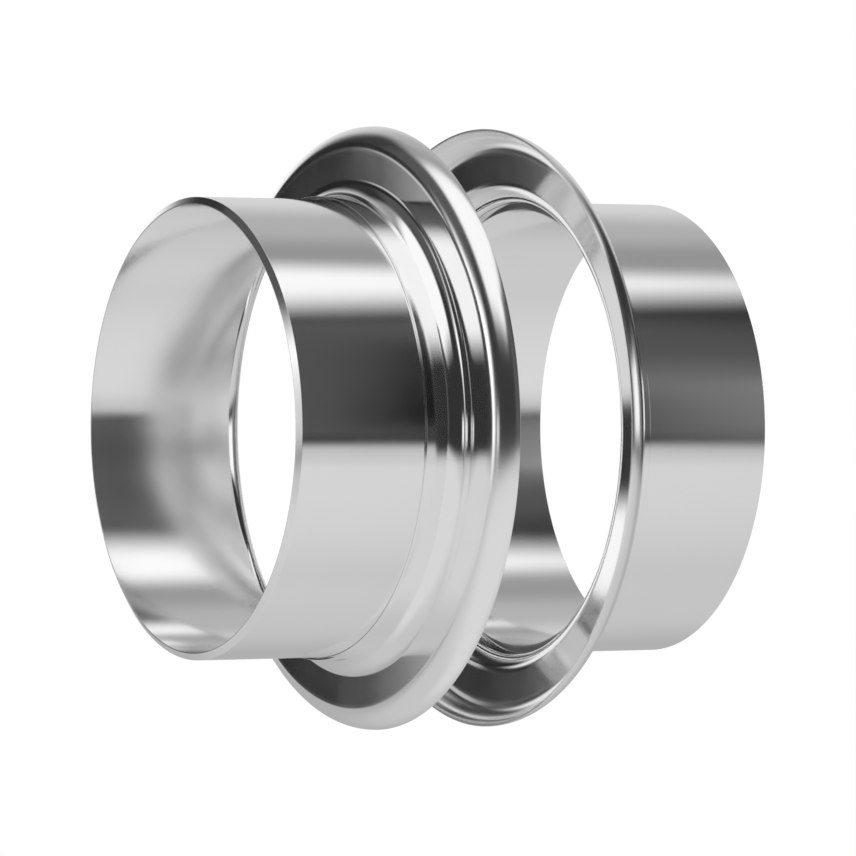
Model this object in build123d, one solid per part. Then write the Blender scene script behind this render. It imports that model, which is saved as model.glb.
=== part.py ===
from build123d import *
import os
from math import radians, tan

# Lens expansion joint for a round duct, drawn as its two loose halves on one axis.
# X runs along the duct, Z is up, and the origin is the middle of the gap between the two lens rims.
# Every piece is a sheet or tube section turned about X, so each profile is drawn as
# (distance along the duct, radius) for the right half, and the left half is its mirror image.
# All sizes are millimetres.

# Pipe stub: a short length of welded tube with one end prepared for a butt weld
PIPE_OUTER_DIAMETER = 219.1
PIPE_WALL = 3.6
STUB_LENGTH = 75.0
BEVEL_ANGLE = 35.0
ROOT_FACE = 0.5
EDGE_BREAK = 0.2

# Half lens: one ring rolled from thin sheet, with the radii taken on its outer face
SHEET_THICKNESS = 1.2
LENS_OUTER_DIAMETER = 289.5
CROWN_RADIUS = 11.2
LIP_LENGTH = 0.4
ROOT_RADIUS = 8.8
COLLAR_LENGTH = 10.0

# How the two pieces of a half go together, and how far apart the halves stand
SLIP_CLEARANCE = 0.1
STUB_SETBACK = 1.4
RIM_GAP = 60.0

# Radii that follow from the sizes above
pipe_outer_radius = PIPE_OUTER_DIAMETER / 2
pipe_bore_radius = pipe_outer_radius - PIPE_WALL
collar_bore_radius = pipe_outer_radius + SLIP_CLEARANCE
collar_outer_radius = collar_bore_radius + SHEET_THICKNESS
web_inner_edge_radius = collar_outer_radius + ROOT_RADIUS
lens_outer_radius = LENS_OUTER_DIAMETER / 2
web_outer_edge_radius = lens_outer_radius - CROWN_RADIUS

# Places along the duct that follow from the sizes above
rim_x = RIM_GAP / 2
crown_x = rim_x + LIP_LENGTH
web_x = crown_x + CROWN_RADIUS
collar_x = web_x + ROOT_RADIUS
collar_end_x = collar_x + COLLAR_LENGTH
stub_inner_x = collar_x + STUB_SETBACK
stub_outer_x = stub_inner_x + STUB_LENGTH


def half_lens_section():
    """The rolled sheet: lip, crown roll, flat web, root roll and collar, one thickness throughout."""
    crown_inside = CROWN_RADIUS - SHEET_THICKNESS
    root_inside = ROOT_RADIUS + SHEET_THICKNESS
    web_inside_x = web_x - SHEET_THICKNESS
    with BuildSketch() as section:
        with BuildLine():
            # outer face, from the rim to the end of the collar
            lip = Line((rim_x, lens_outer_radius), (crown_x, lens_outer_radius))
            crown = RadiusArc(lip @ 1, (web_x, web_outer_edge_radius), CROWN_RADIUS)
            web = Line(crown @ 1, (web_x, web_inner_edge_radius))
            root = RadiusArc(web @ 1, (collar_x, collar_outer_radius), -ROOT_RADIUS)
            collar = Line(root @ 1, (collar_end_x, collar_outer_radius))
            # cut end of the collar, then back along the inner face
            collar_cut = Line(collar @ 1, (collar_end_x, collar_bore_radius))
            collar_bore = Line(collar_cut @ 1, (collar_x, collar_bore_radius))
            root_back = RadiusArc(collar_bore @ 1, (web_inside_x, web_inner_edge_radius), root_inside)
            web_back = Line(root_back @ 1, (web_inside_x, web_outer_edge_radius))
            lip_bore_radius = lens_outer_radius - SHEET_THICKNESS
            crown_back = RadiusArc(web_back @ 1, (crown_x, lip_bore_radius), -crown_inside)
            lip_back = Line(crown_back @ 1, (rim_x, lip_bore_radius))
            Line(lip_back @ 1, lip @ 0)
        make_face()
    return section.sketch


def pipe_stub_section():
    """The tube wall: square cut inside the lens, bevelled outside down to a narrow root face."""
    bevel_foot_radius = pipe_bore_radius + ROOT_FACE
    bevel_depth = (pipe_outer_radius - bevel_foot_radius) * tan(radians(BEVEL_ANGLE))
    with BuildSketch() as section:
        with BuildLine():
            Polyline(
                (stub_inner_x, pipe_bore_radius),
                (stub_inner_x, pipe_outer_radius),
                (stub_outer_x - bevel_depth, pipe_outer_radius),
                (stub_outer_x, bevel_foot_radius),
                (stub_outer_x, pipe_bore_radius),
                close=True,
            )
        make_face()
        # the saw's burr is taken off the square end and off the bore of the weld end
        square_end = section.vertices().group_by(Axis.X)[0]
        bore_corner = section.vertices().group_by(Axis.X)[-1].sort_by(Axis.Y)[0]
        chamfer(square_end + [bore_corner], length=EDGE_BREAK)
    return section.sketch


def turned_about_the_duct(section):
    """A full ring made from a half section."""
    return revolve(section, axis=Axis.X, revolution_arc=360)


right_half_lens = turned_about_the_duct(half_lens_section())
right_pipe_stub = turned_about_the_duct(pipe_stub_section())
pieces = {
    "right_half_lens": right_half_lens,
    "right_pipe_stub": right_pipe_stub,
    "left_half_lens": mirror(right_half_lens, about=Plane.YZ),
    "left_pipe_stub": mirror(right_pipe_stub, about=Plane.YZ),
}

os.makedirs("parts", exist_ok=True)
for name, piece in pieces.items():
    export_step(piece, f"parts/{name}.step")
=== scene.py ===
"""Lens expansion joint for a round duct: two polished steel halves standing apart on one level axis.

Every piece is a section turned about X, the duct's axis. All lengths are metres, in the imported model's
frame: X along the duct, Z up, and the origin in the middle of the gap between the two rims.
"""

import logging
import math
from abc import ABC, abstractmethod
from dataclasses import KW_ONLY, dataclass
from enum import Enum
from typing import ClassVar

import bpy
import numpy as np
from mathutils import Matrix, Vector


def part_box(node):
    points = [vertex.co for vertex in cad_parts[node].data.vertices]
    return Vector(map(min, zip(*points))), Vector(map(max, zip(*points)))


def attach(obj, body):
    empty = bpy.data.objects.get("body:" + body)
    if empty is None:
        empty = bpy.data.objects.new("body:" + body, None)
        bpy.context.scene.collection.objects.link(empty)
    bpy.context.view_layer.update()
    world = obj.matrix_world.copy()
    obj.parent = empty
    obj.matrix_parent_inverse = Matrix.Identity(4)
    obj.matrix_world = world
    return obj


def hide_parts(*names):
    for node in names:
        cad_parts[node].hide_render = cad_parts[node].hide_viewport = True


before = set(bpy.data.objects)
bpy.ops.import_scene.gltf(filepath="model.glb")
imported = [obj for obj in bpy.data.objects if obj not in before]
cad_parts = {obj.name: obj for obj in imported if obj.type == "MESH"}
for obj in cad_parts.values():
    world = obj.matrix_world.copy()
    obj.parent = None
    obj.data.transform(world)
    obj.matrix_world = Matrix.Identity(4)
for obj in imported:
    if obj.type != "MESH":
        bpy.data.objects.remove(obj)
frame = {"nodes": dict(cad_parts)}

LOG = logging.getLogger("lens_joint")
MM = 0.001
# degrees round Z from a view along +Y: the camera looks from here, and the studio stands square to it
CAMERA_AZIMUTH = -29.2528
# the colour sockets of Blender's Mix node, whose names are those of its other sockets too
MIX_FIRST, MIX_SECOND, MIX_RESULT = 6, 7, 2

Socket = bpy.types.NodeSocket


class Side(Enum):
    """Which half of the joint a piece belongs to, as the sign of its place along the duct."""

    LEFT = -1.0
    RIGHT = 1.0

    @property
    def word(self) -> str:
        """The side's name as it stands in the names of pieces."""
        return self.name.lower()


class Metal(Enum):
    """On which side of an arc the metal lies, as the sign of the surface's outward direction there."""

    INSIDE = 1.0
    OUTSIDE = -1.0


class Level(Enum):
    """Whether a level flat lies over or under the joint, as the sign of its height."""

    ABOVE = 1.0
    BELOW = -1.0


def linear(hex_colour: str) -> tuple[float, float, float, float]:
    """Turns an sRGB hex colour into the linear colour that a shader takes.

    Args:
        hex_colour: Six hex digits, such as "C8C8C6".

    Returns:
        Linear red, green and blue, with an alpha of 1. Each channel c becomes c / 12.92 where it is small,
        and ((c + 0.055) / 1.055) to the power 2.4 elsewhere.
    """
    channels = [int(hex_colour[i : i + 2], 16) / 255 for i in (0, 2, 4)]
    red, green, blue = (c / 12.92 if c <= 0.04045 else ((c + 0.055) / 1.055) ** 2.4 for c in channels)
    return red, green, blue, 1.0


def fade(inside: np.ndarray, width: float) -> np.ndarray:
    """A soft edge: 0 well outside, 1 well inside, and a smooth S between them.

    Args:
        inside: How far inside the edge each place lies, negative outside.
        width: The whole width of the soft edge.

    Returns:
        Shares t t (3 - 2 t), where t grows evenly from 0 to 1 across the edge.
    """
    share = np.clip(inside / width + 0.5, 0.0, 1.0)
    return share * share * (3.0 - 2.0 * share)


def wrapped_quads(rows: int, columns: int, closed: bool) -> np.ndarray:
    """Lists the faces of a grid of points whose rows each close into a ring.

    Args:
        rows: How many rows of points there are.
        columns: How many points each row has.
        closed: Whether faces join the last row to the first one too.

    Returns:
        Point numbers, four to a face: a point, the one in the next row, the one beside that, and the one
        beside the first.
    """
    row, column = np.meshgrid(np.arange(rows if closed else rows - 1), np.arange(columns), indexing="ij")
    next_row, next_column = (row + 1) % rows, (column + 1) % columns
    corners = ((row, column), (next_row, column), (next_row, next_column), (row, next_column))
    return np.stack([r * columns + c for r, c in corners], axis=-1).reshape(-1, 4)


def mesh_object(name: str, places: np.ndarray, quads: np.ndarray) -> bpy.types.Object:
    """Puts a mesh of four-sided faces into the scene.

    Args:
        name: The name of the mesh and of its object.
        places: Its points, in metres.
        quads: Point numbers, four to a face.

    Returns:
        The object, which stands at the origin.
    """
    mesh = bpy.data.meshes.new(name)
    mesh.from_pydata(places.reshape(-1, 3), [], quads)
    thing = bpy.data.objects.new(name, mesh)
    bpy.context.scene.collection.objects.link(thing)
    return thing


def blank_material(name: str) -> tuple[bpy.types.Material, bpy.types.NodeTree]:
    """Makes a material with no nodes in it.

    Args:
        name: The material's name.

    Returns:
        The material and its empty node tree.
    """
    material = bpy.data.materials.new(name)
    material.use_nodes = True
    material.node_tree.nodes.clear()
    return material, material.node_tree


def add_node(
    tree: bpy.types.NodeTree, kind: str, settings: dict | None = None, links: dict | None = None
) -> bpy.types.Node:
    """Adds one node to a tree, sets it up and wires its inputs.

    Args:
        tree: The node tree that gets the node.
        kind: Blender's name of the node's type.
        settings: Attribute names with their values, or input numbers and names with their default values.
        links: Input numbers or names with the output socket that feeds each.

    Returns:
        The new node.
    """
    node = tree.nodes.new(kind)
    for key, value in (settings or {}).items():
        if isinstance(key, str) and hasattr(node, key):
            setattr(node, key, value)
        else:
            node.inputs[key].default_value = value
    for key, socket in (links or {}).items():
        tree.links.new(socket, node.inputs[key])
    return node


@dataclass(frozen=True)
class Zone:
    """How the steel looks in one zone: its colour, its colour where it is worn, and its roughness."""

    colour: str
    worn_colour: str
    roughness: float


@dataclass(frozen=True)
class PolishedSteel:
    """Stainless steel sheet or tube, ground round the duct's axis and then polished to a soft mirror.

    The eye gets a neutral grey metal that shows its surroundings with soft edges. It has an inner and an
    outer zone, which blend into each other between two distances from the axis. The polishing mop passes
    less often in some places than in others, so that the gloss is faintly mottled.
    """

    name: str
    inner: Zone
    outer: Zone
    blend_from: float
    blend_to: float
    roughness_spread: float
    mottle_size: float
    line_spacing: float
    line_depth: float
    mottle_detail: float = 3.0
    mottle_roughness: float = 0.55
    mottle_low: float = 0.3
    mottle_high: float = 0.7
    line_detail: float = 2.0
    line_drift: float = 4.0

    def gloss(self, tree: bpy.types.NodeTree, share: Socket, mottle: Socket) -> Socket:
        """Makes the roughness: that of the zones by their share, and a small shift that follows the mottle.

        Args:
            tree: The material's node tree.
            share: The outer zone's share, from 0 to 1.
            mottle: The mottle's noise, from 0 to 1.

        Returns:
            The roughness.
        """
        zones = add_node(
            tree,
            "ShaderNodeMapRange",
            {"To Min": self.inner.roughness, "To Max": self.outer.roughness},
            {"Value": share},
        )
        shift = add_node(
            tree,
            "ShaderNodeMapRange",
            {
                "From Min": self.mottle_low,
                "From Max": self.mottle_high,
                "To Min": -self.roughness_spread,
                "To Max": self.roughness_spread,
            },
            {"Value": mottle},
        )
        roughness = add_node(
            tree,
            "ShaderNodeMath",
            {"operation": "ADD"},
            {0: zones.outputs["Result"], 1: shift.outputs["Result"]},
        )
        return roughness.outputs["Value"]

    def tint(self, tree: bpy.types.NodeTree, share: Socket, mottle: Socket) -> Socket:
        """Makes the colour: the mottle mixes each zone's two colours, and the share mixes the zones.

        Args:
            tree: The material's node tree.
            share: The outer zone's share, from 0 to 1.
            mottle: The mottle's noise, from 0 to 1.

        Returns:
            The colour.
        """
        inner, outer = (
            add_node(
                tree,
                "ShaderNodeMix",
                {"data_type": "RGBA", MIX_FIRST: linear(zone.colour), MIX_SECOND: linear(zone.worn_colour)},
                {0: mottle},
            )
            for zone in (self.inner, self.outer)
        )
        colour = add_node(
            tree,
            "ShaderNodeMix",
            {"data_type": "RGBA"},
            {0: share, MIX_FIRST: inner.outputs[MIX_RESULT], MIX_SECOND: outer.outputs[MIX_RESULT]},
        )
        return colour.outputs[MIX_RESULT]

    def polishing_lines(
        self, tree: bpy.types.NodeTree, along: Socket, radius: Socket, mottle: Socket
    ) -> Socket:
        """Makes the bump of the fine lines round the axis.

        It is a noise of (place along the duct, distance from the axis) over the lines' spacing. The mottle
        moves it slowly in its third direction, so that no line runs right round. Real polishing lines lie
        about 0.05 mm apart: these are coarser, so that a close view shows them at all.

        Args:
            tree: The material's node tree.
            along: The place along the duct.
            radius: The distance from its axis.
            mottle: The mottle's noise, as a colour.

        Returns:
            The direction of the bumped surface.
        """
        across = add_node(tree, "ShaderNodeCombineXYZ", links={0: along, 1: radius})
        spaced = add_node(
            tree,
            "ShaderNodeVectorMath",
            {"operation": "SCALE", "Scale": 1 / self.line_spacing},
            {0: across.outputs["Vector"]},
        )
        drifting = add_node(
            tree,
            "ShaderNodeVectorMath",
            {"operation": "MULTIPLY_ADD", 1: (0.0, 0.0, self.line_drift)},
            {0: mottle, 2: spaced.outputs["Vector"]},
        )
        lines = add_node(
            tree,
            "ShaderNodeTexNoise",
            {"Scale": 1.0, "Detail": self.line_detail},
            {"Vector": drifting.outputs["Vector"]},
        )
        bump = add_node(
            tree,
            "ShaderNodeBump",
            {"Strength": 1.0, "Distance": self.line_depth},
            {"Height": lines.outputs["Fac"]},
        )
        return bump.outputs["Normal"]

    def material(self) -> bpy.types.Material:
        """Builds the finish as a node material.

        Returns:
            The material, whose patterns read the piece's own coordinates in metres.
        """
        material, tree = blank_material(self.name)
        place = add_node(tree, "ShaderNodeTexCoord").outputs["Object"]
        parts = add_node(tree, "ShaderNodeSeparateXYZ", links={"Vector": place})
        # the spoke from the duct's axis to the place, without its X
        spoke = add_node(
            tree, "ShaderNodeVectorMath", {"operation": "MULTIPLY", 1: (0.0, 1.0, 1.0)}, {0: place}
        )
        length = add_node(
            tree, "ShaderNodeVectorMath", {"operation": "LENGTH"}, {0: spoke.outputs["Vector"]}
        )
        radius = length.outputs["Value"]
        mottle = add_node(
            tree,
            "ShaderNodeTexNoise",
            {
                "Scale": 1 / self.mottle_size,
                "Detail": self.mottle_detail,
                "Roughness": self.mottle_roughness,
            },
            {"Vector": place},
        )
        share = add_node(
            tree,
            "ShaderNodeMapRange",
            {"From Min": self.blend_from, "From Max": self.blend_to},
            {"Value": radius},
        )
        steel = add_node(
            tree,
            "ShaderNodeBsdfPrincipled",
            {"Metallic": 1.0},
            {
                "Base Color": self.tint(tree, share.outputs["Result"], mottle.outputs["Fac"]),
                "Roughness": self.gloss(tree, share.outputs["Result"], mottle.outputs["Fac"]),
                "Normal": self.polishing_lines(tree, parts.outputs["X"], radius, mottle.outputs["Color"]),
            },
        )
        add_node(tree, "ShaderNodeOutputMaterial", links={"Surface": steel.outputs["BSDF"]})
        return material


# The mop reaches the outside of the tube better than its bore, whose steel stays paler and a little duller.
# The blend from one to the other lies inside the thickness of the wall.
TUBE_FINISH = PolishedSteel(
    name="polished_stainless_tube",
    inner=Zone("FEFEFE", "FEFEFE", roughness=0.13),
    outer=Zone("FAFAFA", "F8F8F8", roughness=0.1),
    blend_from=106.2 * MM,
    blend_to=107.2 * MM,
    roughness_spread=0.015,
    mottle_size=30 * MM,
    line_spacing=0.7 * MM,
    line_depth=0.0004 * MM,
)
# Cold-rolled sheet mirrors a little more sharply than the tube. Rolling the crown has stretched it and left
# it duller there.
SHEET_FINISH = PolishedSteel(
    name="polished_stainless_sheet",
    inner=Zone("FAFAFA", "F8F8F8", roughness=0.085),
    outer=Zone("FAFAFA", "F8F8F8", roughness=0.185),
    blend_from=132 * MM,
    blend_to=139 * MM,
    roughness_spread=0.01,
    mottle_size=24 * MM,
    line_spacing=0.6 * MM,
    line_depth=0.0003 * MM,
)


class Profile:
    """A closed section in the plane of the duct's axis, walked with the metal on its right-hand side.

    It holds points (x, r) with the outward direction of the surface at each, so that flat stretches stay
    flat and rolls stay round when light falls on them, however few points they have.
    """

    def __init__(self) -> None:
        """Starts an empty section."""
        self.points: list[np.ndarray] = []
        self.normals: list[np.ndarray] = []

    def arc(
        self,
        centre: tuple[float, float],
        radius: float,
        start: float,
        end: float,
        steps: int,
        metal: Metal = Metal.INSIDE,
    ) -> None:
        """Adds a round stretch: centre + radius (cos t, sin t), with t running evenly from start to end.

        Args:
            centre: The arc's centre as (x, r).
            radius: The arc's radius.
            start: The angle of its first point, in degrees from the duct's axis.
            end: The angle of its last point, in degrees.
            steps: How many straight steps stand for the arc.
            metal: On which side of the arc the metal lies.
        """
        angle = np.radians(np.linspace(start, end, steps + 1))
        ray = np.stack([np.cos(angle), np.sin(angle)], axis=1)
        self.points.append(np.asarray(centre) + radius * ray)
        self.normals.append(metal.value * ray)

    def turned(self, name: str, side: Side, steps: int) -> bpy.types.Object:
        """Turns the section about X into a closed ring.

        A point (x, r) goes to (side x, r sin a, r cos a) for each angle a of a full turn, and its outward
        direction turns with it. Faces of the mirrored half are wound the other way, so that they point
        outwards too.

        Args:
            name: The new object's name.
            side: Which half of the joint the ring belongs to.
            steps: How many straight steps stand for the full turn.

        Returns:
            The ring, smooth shaded, with the section's own normals.
        """
        section = np.concatenate(self.points)
        outward = np.concatenate(self.normals)
        turn = np.linspace(0.0, 2 * math.pi, steps, endpoint=False)
        around = np.stack([np.zeros(steps), np.sin(turn), np.cos(turn)], axis=1)
        along = np.array([side.value, 0.0, 0.0])
        places = section[:, None, :1] * along + section[:, None, 1:] * around
        normals = outward[:, None, :1] * along + outward[:, None, 1:] * around
        quads = wrapped_quads(len(section), steps, closed=True)
        ring = mesh_object(name, places, quads[:, ::-1] if side is Side.LEFT else quads)
        ring.data.shade_smooth()
        ring.data.normals_split_custom_set_from_vertices(normals.reshape(-1, 3))
        ring.data.validate()
        return ring


def rounded_polygon(corners: list[tuple[float, float]], radius: float, steps: int) -> Profile:
    """Makes a section with straight sides and small round corners.

    Each corner becomes an arc that touches both sides: its centre lies on the corner's bisector, at radius
    divided by the cosine of half the turn from the corner.

    Args:
        corners: The corners as (x, r), with the metal on the right-hand side of the walk.
        radius: The radius of every corner.
        steps: How many straight steps stand for each corner's arc.

    Returns:
        The section.
    """
    profile = Profile()
    befores = corners[-1:] + corners[:-1]
    afters = corners[1:] + corners[:1]
    for before, corner, after in zip(befores, corners, afters):
        here = np.asarray(corner)
        arriving = (here - before) / np.linalg.norm(here - before)
        leaving = (after - here) / np.linalg.norm(after - here)
        first = np.array([-arriving[1], arriving[0]])
        last = np.array([-leaving[1], leaving[0]])
        bisector = (first + last) / np.linalg.norm(first + last)
        centre = here - bisector * radius / float(bisector @ first)
        start = math.degrees(math.atan2(first[1], first[0]))
        turn = math.degrees(math.atan2(first[0] * last[1] - first[1] * last[0], float(first @ last)))
        profile.arc((float(centre[0]), float(centre[1])), radius, start, start + turn, steps)
    return profile


@dataclass(frozen=True)
class TurnedPiece(ABC):
    """A piece of one half, turned about the duct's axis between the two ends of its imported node."""

    node_word: ClassVar[str]
    piece_word: ClassVar[str]
    slot: ClassVar[str]

    side: Side
    finish: bpy.types.Material
    turn_steps: int = 512

    @abstractmethod
    def section(self, gap_end: float, duct_end: float) -> Profile:
        """Draws the piece's section for the right-hand half.

        Args:
            gap_end: Where its end nearer to the gap lies, along the duct.
            duct_end: Where its other end lies.

        Returns:
            The closed section.
        """

    def build(self) -> bpy.types.Object:
        """Turns the section about the duct's axis and dresses the ring.

        Returns:
            The finished piece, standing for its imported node.
        """
        node = f"{self.side.word}_{self.node_word}"
        low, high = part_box(node)
        gap_end, duct_end = sorted((abs(low.x), abs(high.x)))
        section = self.section(gap_end, duct_end)
        piece = section.turned(f"{self.side.word}_{self.piece_word}", self.side, self.turn_steps)
        piece.data.materials.append(self.finish)
        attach(piece, "root")
        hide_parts(node)
        return piece


@dataclass(frozen=True)
class PipeStub(TurnedPiece):
    """A short tube, square at its inner end and bevelled outside at its weld end."""

    node_word = "pipe_stub"
    piece_word = "stub"
    slot = "stub_steel"

    outer_radius: float = 109.55 * MM
    wall: float = 3.6 * MM
    bevel_angle: float = 30.0
    root_face: float = 0.5 * MM
    edge_radius: float = 0.15 * MM
    edge_steps: int = 4

    def section(self, gap_end: float, duct_end: float) -> Profile:
        """Draws the tube's wall, with its weld bevel at the duct's end and small round edges.

        Args:
            gap_end: Where its square end lies, along the duct.
            duct_end: Where its weld end lies.

        Returns:
            The closed section.
        """
        bore_radius = self.outer_radius - self.wall
        bevel_foot = bore_radius + self.root_face
        bevel_depth = (self.outer_radius - bevel_foot) * math.tan(math.radians(self.bevel_angle))
        corners = [
            (gap_end, bore_radius),
            (gap_end, self.outer_radius),
            (duct_end - bevel_depth, self.outer_radius),
            (duct_end, bevel_foot),
            (duct_end, bore_radius),
        ]
        return rounded_polygon(corners, self.edge_radius, self.edge_steps)


@dataclass(frozen=True)
class HalfLens(TurnedPiece):
    """One ring rolled from thin sheet: rim lip, crown roll, flat web, root roll and slip-on collar."""

    node_word = "half_lens"
    piece_word = "lens"
    slot = "lens_steel"

    outer_radius: float = 144.75 * MM
    sheet: float = 1.2 * MM
    crown_radius: float = 11.2 * MM
    lip_length: float = 0.4 * MM
    root_radius: float = 8.8 * MM
    collar_bore_radius: float = 109.65 * MM
    edge_radius: float = 0.2 * MM
    roll_steps: int = 24
    edge_steps: int = 3

    def section(self, gap_end: float, duct_end: float) -> Profile:
        """Draws the sheet: the rim's edge, the outer face, the collar's edge and the inner face back.

        The flat web and the straight lip and collar are what the arcs leave between them.

        Args:
            gap_end: Where the rim is cut, along the duct.
            duct_end: Where the collar is cut.

        Returns:
            The closed section.
        """
        edge = self.edge_radius
        collar_radius = self.collar_bore_radius + self.sheet
        crown_centre = (gap_end + self.lip_length, self.outer_radius - self.crown_radius)
        web_x = crown_centre[0] + self.crown_radius
        root_centre = (web_x + self.root_radius, collar_radius + self.root_radius)
        rim_x, collar_x = gap_end + edge, duct_end - edge
        profile = Profile()
        profile.arc((rim_x, self.outer_radius - self.sheet + edge), edge, 270.0, 180.0, self.edge_steps)
        profile.arc((rim_x, self.outer_radius - edge), edge, 180.0, 90.0, self.edge_steps)
        profile.arc(crown_centre, self.crown_radius, 90.0, 0.0, self.roll_steps)
        profile.arc(root_centre, self.root_radius, 180.0, 270.0, self.roll_steps, Metal.OUTSIDE)
        profile.arc((collar_x, collar_radius - edge), edge, 90.0, 0.0, self.edge_steps)
        profile.arc((collar_x, self.collar_bore_radius + edge), edge, 0.0, -90.0, self.edge_steps)
        profile.arc(root_centre, self.root_radius + self.sheet, 270.0, 180.0, self.roll_steps)
        profile.arc(crown_centre, self.crown_radius - self.sheet, 0.0, 90.0, self.roll_steps, Metal.OUTSIDE)
        return profile


@dataclass(frozen=True)
class Flat(ABC):
    """A sheet of one tone in the studio, lit or glowing, or an opening where it has no tone.

    Bearings are degrees round the upright axis from the camera's own side, growing to the right in its
    picture, and heights are degrees above level, both as seen from the joint.
    """

    name: str
    tone: str | None
    _: KW_ONLY
    power: float = 1.0

    @abstractmethod
    def cover(self, bearing: np.ndarray, height: np.ndarray) -> np.ndarray:
        """How much of each direction the flat hides.

        Args:
            bearing: Bearings in degrees.
            height: Heights in degrees.

        Returns:
            Shares from 0 to 1.
        """

    def look(self) -> np.ndarray:
        """Its red, green and blue light and full cover as the fourth value, or all zeros for an opening."""
        if self.tone is None:
            return np.zeros(4)
        return np.array([*(channel * self.power for channel in linear(self.tone)[:3]), 1.0])


@dataclass(frozen=True)
class StandingFlat(Flat):
    """A flat that stands round the joint.

    It spans bearings and heights, and fades out over the first of its fades at its two sides and over the
    second at its foot and top. A bowed flat curves to the right as it rises, by its bow times the square of
    the height.
    """

    bearings: tuple[float, float]
    heights: tuple[float, float]
    fades: tuple[float, float]
    _: KW_ONLY
    bow: float = 0.0

    def cover(self, bearing: np.ndarray, height: np.ndarray) -> np.ndarray:
        """How much of each direction the flat hides: the product of one fade for each of its four edges.

        Args:
            bearing: Bearings in degrees.
            height: Heights in degrees.

        Returns:
            Shares from 0 to 1.
        """
        left, right = self.bearings
        foot, top = self.heights
        side_fade, end_fade = self.fades
        middle, half = (left + right) / 2, (right - left) / 2
        aside = (bearing - self.bow * height**2 - middle + 180.0) % 360.0 - 180.0
        sides = fade(half + aside, side_fade) * fade(half - aside, side_fade)
        return sides * fade(height - foot, end_fade) * fade(top - height, end_fade)


@dataclass(frozen=True)
class LevelFlat(Flat):
    """A flat that lies level, with its edges square to the camera.

    Its edges are given on the plane one unit above or below the joint, so that they hold for any distance:
    half_width goes to the picture's right and left, and near and far are counted from the joint, away from
    the camera. Fades are degrees, the first for the near edge and the second for the other three.
    """

    level: Level
    half_width: float
    near: float
    far: float
    fades: tuple[float, float]
    lowest: ClassVar[float] = 0.5
    highest: ClassVar[float] = 89.99

    def cover(self, bearing: np.ndarray, height: np.ndarray) -> np.ndarray:
        """How much of each direction the flat hides.

        A direction meets the plane at (sin b, -cos b) divided by the tangent of its height. Each edge fades
        by the angle between that point and the edge, both seen from the joint. The flat hides nothing under
        its lowest height.

        Args:
            bearing: Bearings in degrees.
            height: Heights in degrees.

        Returns:
            Shares from 0 to 1.
        """
        steepness = height * self.level.value
        reach = 1.0 / np.tan(np.radians(np.clip(steepness, self.lowest, self.highest)))
        across = np.degrees(np.arctan(reach * np.sin(np.radians(bearing))))
        away = np.degrees(np.arctan(-reach * np.cos(np.radians(bearing))))
        side, near, far = (math.degrees(math.atan(edge)) for edge in (self.half_width, self.near, self.far))
        near_fade, edge_fade = self.fades
        sides = fade(side + across, edge_fade) * fade(side - across, edge_fade)
        inside = sides * fade(away - near, near_fade) * fade(far - away, edge_fade)
        return np.where(steepness > self.lowest, inside, 0.0)


# What stands far off. Each flat hides the earlier ones.
FAR_FLATS = (
    # the dark grey tent all round, which shows wherever nothing stands before it
    StandingFlat("black_tent", "323232", bearings=(-200, 200), heights=(-100, 100), fades=(1, 1)),
    # a dark grey screen, high on the left
    StandingFlat("left_screen", "545454", bearings=(-118, -66), heights=(20, 46), fades=(10, 8)),
    # a grey ceiling over the space behind the joint
    StandingFlat("pale_ceiling", "969696", bearings=(102, 258), heights=(48, 100), fades=(30, 14)),
    # the pale backdrop behind the joint, fading as it rises, with a glow low on its left
    StandingFlat("backdrop", "D6D6D6", bearings=(144, 214), heights=(-16, 50), fades=(26, 56)),
    StandingFlat("backdrop_glow", "FFFFFF", bearings=(188, 218), heights=(-16, 18), fades=(12, 12)),
    # the opening overhead on the camera's side: the broad highlight along the top of both tubes
    LevelFlat("skylight", None, Level.ABOVE, half_width=0.755, near=-1.47, far=0.20, fades=(18, 12)),
    # the pale table under the joint, which fills the lower half of its steel, and its shaded far end
    LevelFlat("grey_table", "C8C8C8", Level.BELOW, half_width=6.4, near=-4.75, far=7.6, fades=(7, 7)),
    LevelFlat("far_end_of_table", "B2B2B2", Level.BELOW, half_width=6.4, near=1.19, far=7.6, fades=(36, 7)),
    # the paler parts of the table: in front, and straight under the joint
    StandingFlat("table_front", "DBDBDB", bearings=(-75, 75), heights=(-100, -15), fades=(60, 8)),
    StandingFlat("table_beneath", "DBDBDB", bearings=(-200, 200), heights=(-100, -68), fades=(1, 24)),
)
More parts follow.
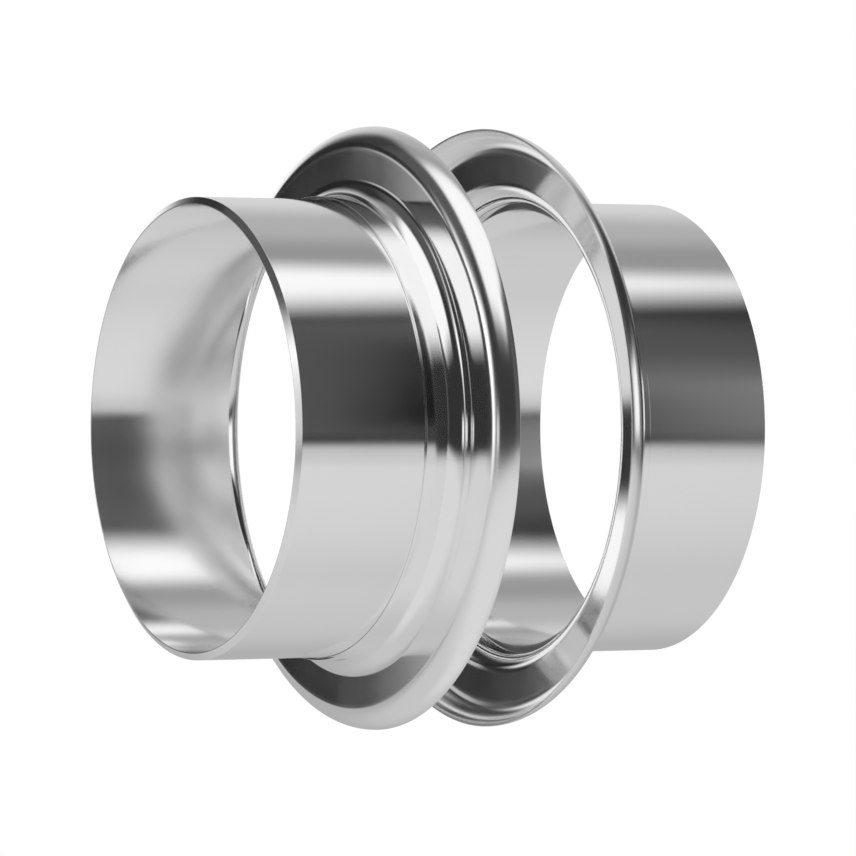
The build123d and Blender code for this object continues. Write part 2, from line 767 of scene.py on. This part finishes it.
# What stands nearer, in front of all that.
NEAR_FLATS = (
    # a dark gap and a pale wing side by side on the left, which the flat webs of both lenses mirror
    StandingFlat("dark_gap", "262626", bearings=(-140, -112), heights=(-7, 22), fades=(8, 6)),
    StandingFlat("left_wing", "C4C4C4", bearings=(-119.9, -64), heights=(-9, 12), fades=(1.6, 5)),
    # the strip lights on the left: a tall bright one, and a low one nearer to the camera
    StandingFlat(
        "left_strip_light", "FFFFFF", bearings=(-98, -60), heights=(-5, 21), fades=(13, 13), power=1.25
    ),
    StandingFlat("low_strip_light", "F8F8F8", bearings=(-52, -40), heights=(-5, 2.5), fades=(6, 4)),
    # a dark grey screen on the right of the camera, with a curved black slot and a paler sheet in it. The
    # black slot is painted shade: mirrored in the tubes, it darkens them towards the lenses, where the
    # corner would shade them
    StandingFlat("grey_screen", "545454", bearings=(38, 76), heights=(-4, 46), fades=(14, 5)),
    # painted shade: this black slot's reflection darkens the tubes next to the lenses
    StandingFlat(
        "pipe_shade_slot", "030303", bearings=(54.8, 57.8), heights=(-2, 36), fades=(0.8, 16), bow=0.0055
    ),
    StandingFlat("right_screen", "747474", bearings=(61.3, 68), heights=(-4.6, 24), fades=(2, 20)),
    # a grey wing on the right, and the strip light before it
    StandingFlat("right_wing", "808080", bearings=(98, 114), heights=(-8, 20), fades=(6, 6)),
    StandingFlat("right_strip_light", "FFFFFF", bearings=(68, 98), heights=(-3, 18), fades=(8, 6)),
)
# What stands close by: a low light behind the joint on the left, which makes the bright streaks in the lower
# rolls of the right lens.
CLOSE_FLATS = (
    StandingFlat("low_back_light", "F0F0F0", bearings=(-151, -129), heights=(-12, 10), fades=(5, 7)),
)


@dataclass(frozen=True)
class Surround:
    """Flats that stand round the joint at one distance, square to the camera, and show in its steel alone.

    They are one closed dome, whose points each hold the light of the flats that the joint sees there.
    """

    name: str
    distance: float
    flats: tuple[Flat, ...]
    facing: float = CAMERA_AZIMUTH
    bearing_steps: int = 720
    height_steps: int = 240

    def light(self, bearing: np.ndarray, height: np.ndarray) -> np.ndarray:
        """The light of the flats by direction, where each flat hides the earlier ones.

        Args:
            bearing: Bearings in degrees.
            height: Heights in degrees.

        Returns:
            Red, green, blue and the share that is hidden behind the flats, for each direction.
        """
        total = np.zeros((*bearing.shape, 4))
        for flat in self.flats:
            cover = flat.cover(bearing, height)[..., None]
            total = total * (1.0 - cover) + cover * flat.look()
        return total

    def places(self, bearing: np.ndarray, height: np.ndarray) -> np.ndarray:
        """Finds the dome's points.

        A point at bearing b and height h lies at (cos h sin b right - cos h cos b away + sin h up) times the
        distance, where away leads from the camera through the joint and right is square to it.

        Args:
            bearing: Bearings in degrees.
            height: Heights in degrees.

        Returns:
            A place in metres for each direction.
        """
        turn = math.radians(self.facing)
        away = np.array([-math.sin(turn), math.cos(turn), 0.0])
        right = np.array([math.cos(turn), math.sin(turn), 0.0])
        up = np.array([0.0, 0.0, 1.0])
        b, h = np.radians(bearing)[..., None], np.radians(height)[..., None]
        return self.distance * (np.cos(h) * (np.sin(b) * right - np.cos(b) * away) + np.sin(h) * up)

    def build(self) -> bpy.types.Object:
        """Makes the dome of flats, with its faces towards the joint.

        Returns:
            The dome, seen in reflections alone.
        """
        bearing, height = np.meshgrid(
            np.linspace(-180.0, 180.0, self.bearing_steps, endpoint=False),
            np.linspace(-90.0, 90.0, self.height_steps + 1),
        )
        quads = wrapped_quads(self.height_steps + 1, self.bearing_steps, closed=False)
        dome = mesh_object(self.name, self.places(bearing, height), quads)
        light = dome.data.attributes.new("light", "FLOAT_COLOR", "POINT")
        light.data.foreach_set("color", self.light(bearing, height).astype(np.float32).ravel())
        dome.data.materials.append(self.material())
        dome.visible_camera = False
        dome.visible_diffuse = False
        dome.visible_shadow = False
        LOG.info("%s: %s", self.name, ", ".join(flat.name for flat in self.flats))
        return dome

    def material(self) -> bpy.types.Material:
        """Makes the finish of the flats: their own light, and nothing at all in the openings between them.

        Returns:
            The material.
        """
        material, tree = blank_material(self.name)
        material.cycles.emission_sampling = "NONE"
        light = add_node(tree, "ShaderNodeAttribute", {"attribute_name": "light"})
        glow = add_node(tree, "ShaderNodeEmission", {"Strength": 1.0}, {"Color": light.outputs["Color"]})
        open_share = add_node(
            tree, "ShaderNodeMath", {"operation": "SUBTRACT", 0: 1.0}, {1: light.outputs["Alpha"]}
        )
        gap = add_node(tree, "ShaderNodeBsdfTransparent", links={"Color": open_share.outputs["Value"]})
        both = add_node(
            tree, "ShaderNodeAddShader", links={0: glow.outputs["Emission"], 1: gap.outputs["BSDF"]}
        )
        add_node(tree, "ShaderNodeOutputMaterial", links={"Surface": both.outputs["Shader"]})
        return material


@dataclass(frozen=True)
class Studio:
    """A white floor, white surroundings, and the flats that give the polished steel something to show."""

    surrounds: tuple[Surround, ...] = (
        Surround("far_flats", 7.0, FAR_FLATS),
        Surround("near_flats", 2.4, NEAR_FLATS),
        Surround("close_flats", 1.0, CLOSE_FLATS),
    )
    floor_height: float = -0.45
    floor_half_width: float = 40.0

    def floor(self) -> bpy.types.Object:
        """Makes the floor: a white level sheet under the joint, below the picture's frame.

        The steel doesn't show it, because the table of flats stands in for it there.

        Returns:
            The floor, which keeps the joint's shadow.
        """
        half, level = self.floor_half_width, self.floor_height
        corners = [(-half, -half, level), (half, -half, level), (half, half, level), (-half, half, level)]
        sheet = mesh_object("floor", np.array(corners), np.array([(0, 1, 2, 3)]))
        material, tree = blank_material("white_paper")
        paper = add_node(tree, "ShaderNodeBsdfDiffuse", {"Color": linear("FFFFFF")})
        add_node(tree, "ShaderNodeOutputMaterial", links={"Surface": paper.outputs["BSDF"]})
        sheet.data.materials.append(material)
        sheet.visible_glossy = False
        return sheet

    def surroundings(self) -> bpy.types.World:
        """Makes the world a plain soft white light of strength 1.

        Returns:
            The world, already the scene's own.
        """
        world = bpy.data.worlds.new("white_surroundings")
        world.use_nodes = True
        background = world.node_tree.nodes["Background"]
        background.inputs["Color"].default_value = linear("FFFFFF")
        background.inputs["Strength"].default_value = 1.0
        bpy.context.scene.world = world
        return world

    def build(self) -> list[bpy.types.Object]:
        """Sets up the whole studio.

        Returns:
            Its objects.
        """
        self.surroundings()
        return [self.floor()] + [surround.build() for surround in self.surrounds]


@dataclass(frozen=True)
class PhotoCamera:
    """The photograph's camera: a long lens, almost level with the duct and looking at its left end.

    Its focal length is in pixels of a picture that is image_width across, as worked out from the photograph,
    and its sight is how far it sees.
    """

    target: tuple[float, float, float] = (2.08 * MM, 0.0, -0.01 * MM)
    azimuth: float = CAMERA_AZIMUTH
    elevation: float = -0.4189
    roll: float = -0.3973
    distance: float = 3.0075
    focal_pixels: float = 6230.05
    image_width: int = 856
    sensor_width: float = 36.0
    sight: float = 100.0

    def build(self) -> bpy.types.Object:
        """Places the camera at target + distance (sin a cos e, -cos a cos e, sin e) and aims it there.

        Returns:
            The camera, already the scene's own.
        """
        azimuth, elevation, roll = map(math.radians, (self.azimuth, self.elevation, self.roll))
        level = math.cos(elevation)
        back = Vector((math.sin(azimuth) * level, -math.cos(azimuth) * level, math.sin(elevation)))
        level_right = (-back).cross(Vector((0.0, 0.0, 1.0))).normalized()
        level_up = level_right.cross(-back)
        right = level_right * math.cos(roll) + level_up * math.sin(roll)
        up = level_up * math.cos(roll) - level_right * math.sin(roll)
        turned = Matrix((right, up, back)).transposed().to_4x4()
        data = bpy.data.cameras.new("photo_camera")
        data.sensor_width = self.sensor_width
        data.lens = self.focal_pixels / self.image_width * self.sensor_width
        data.clip_end = self.sight
        camera = bpy.data.objects.new("photo_camera", data)
        camera.matrix_world = Matrix.Translation(Vector(self.target) + back * self.distance) @ turned
        bpy.context.scene.collection.objects.link(camera)
        bpy.context.scene.camera = camera
        return camera


def main() -> None:
    """Builds the joint, its studio and its camera, and logs the imported nodes and each piece's face count.
    """
    logging.basicConfig(level=logging.INFO, format="%(name)s: %(message)s")
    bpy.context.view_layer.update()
    LOG.info("packed nodes: %s", ", ".join(frame["nodes"]))
    bpy.context.scene.view_settings.view_transform = "Standard"
    tube_steel, sheet_steel = TUBE_FINISH.material(), SHEET_FINISH.material()
    for side in Side:
        for piece in (PipeStub(side, tube_steel).build(), HalfLens(side, sheet_steel).build()):
            LOG.info("%s: %d faces", piece.name, len(piece.data.polygons))
    for prop in Studio().build():
        LOG.info("studio: %s", prop.name)
    PhotoCamera().build()


if __name__ == "__main__":
    main()
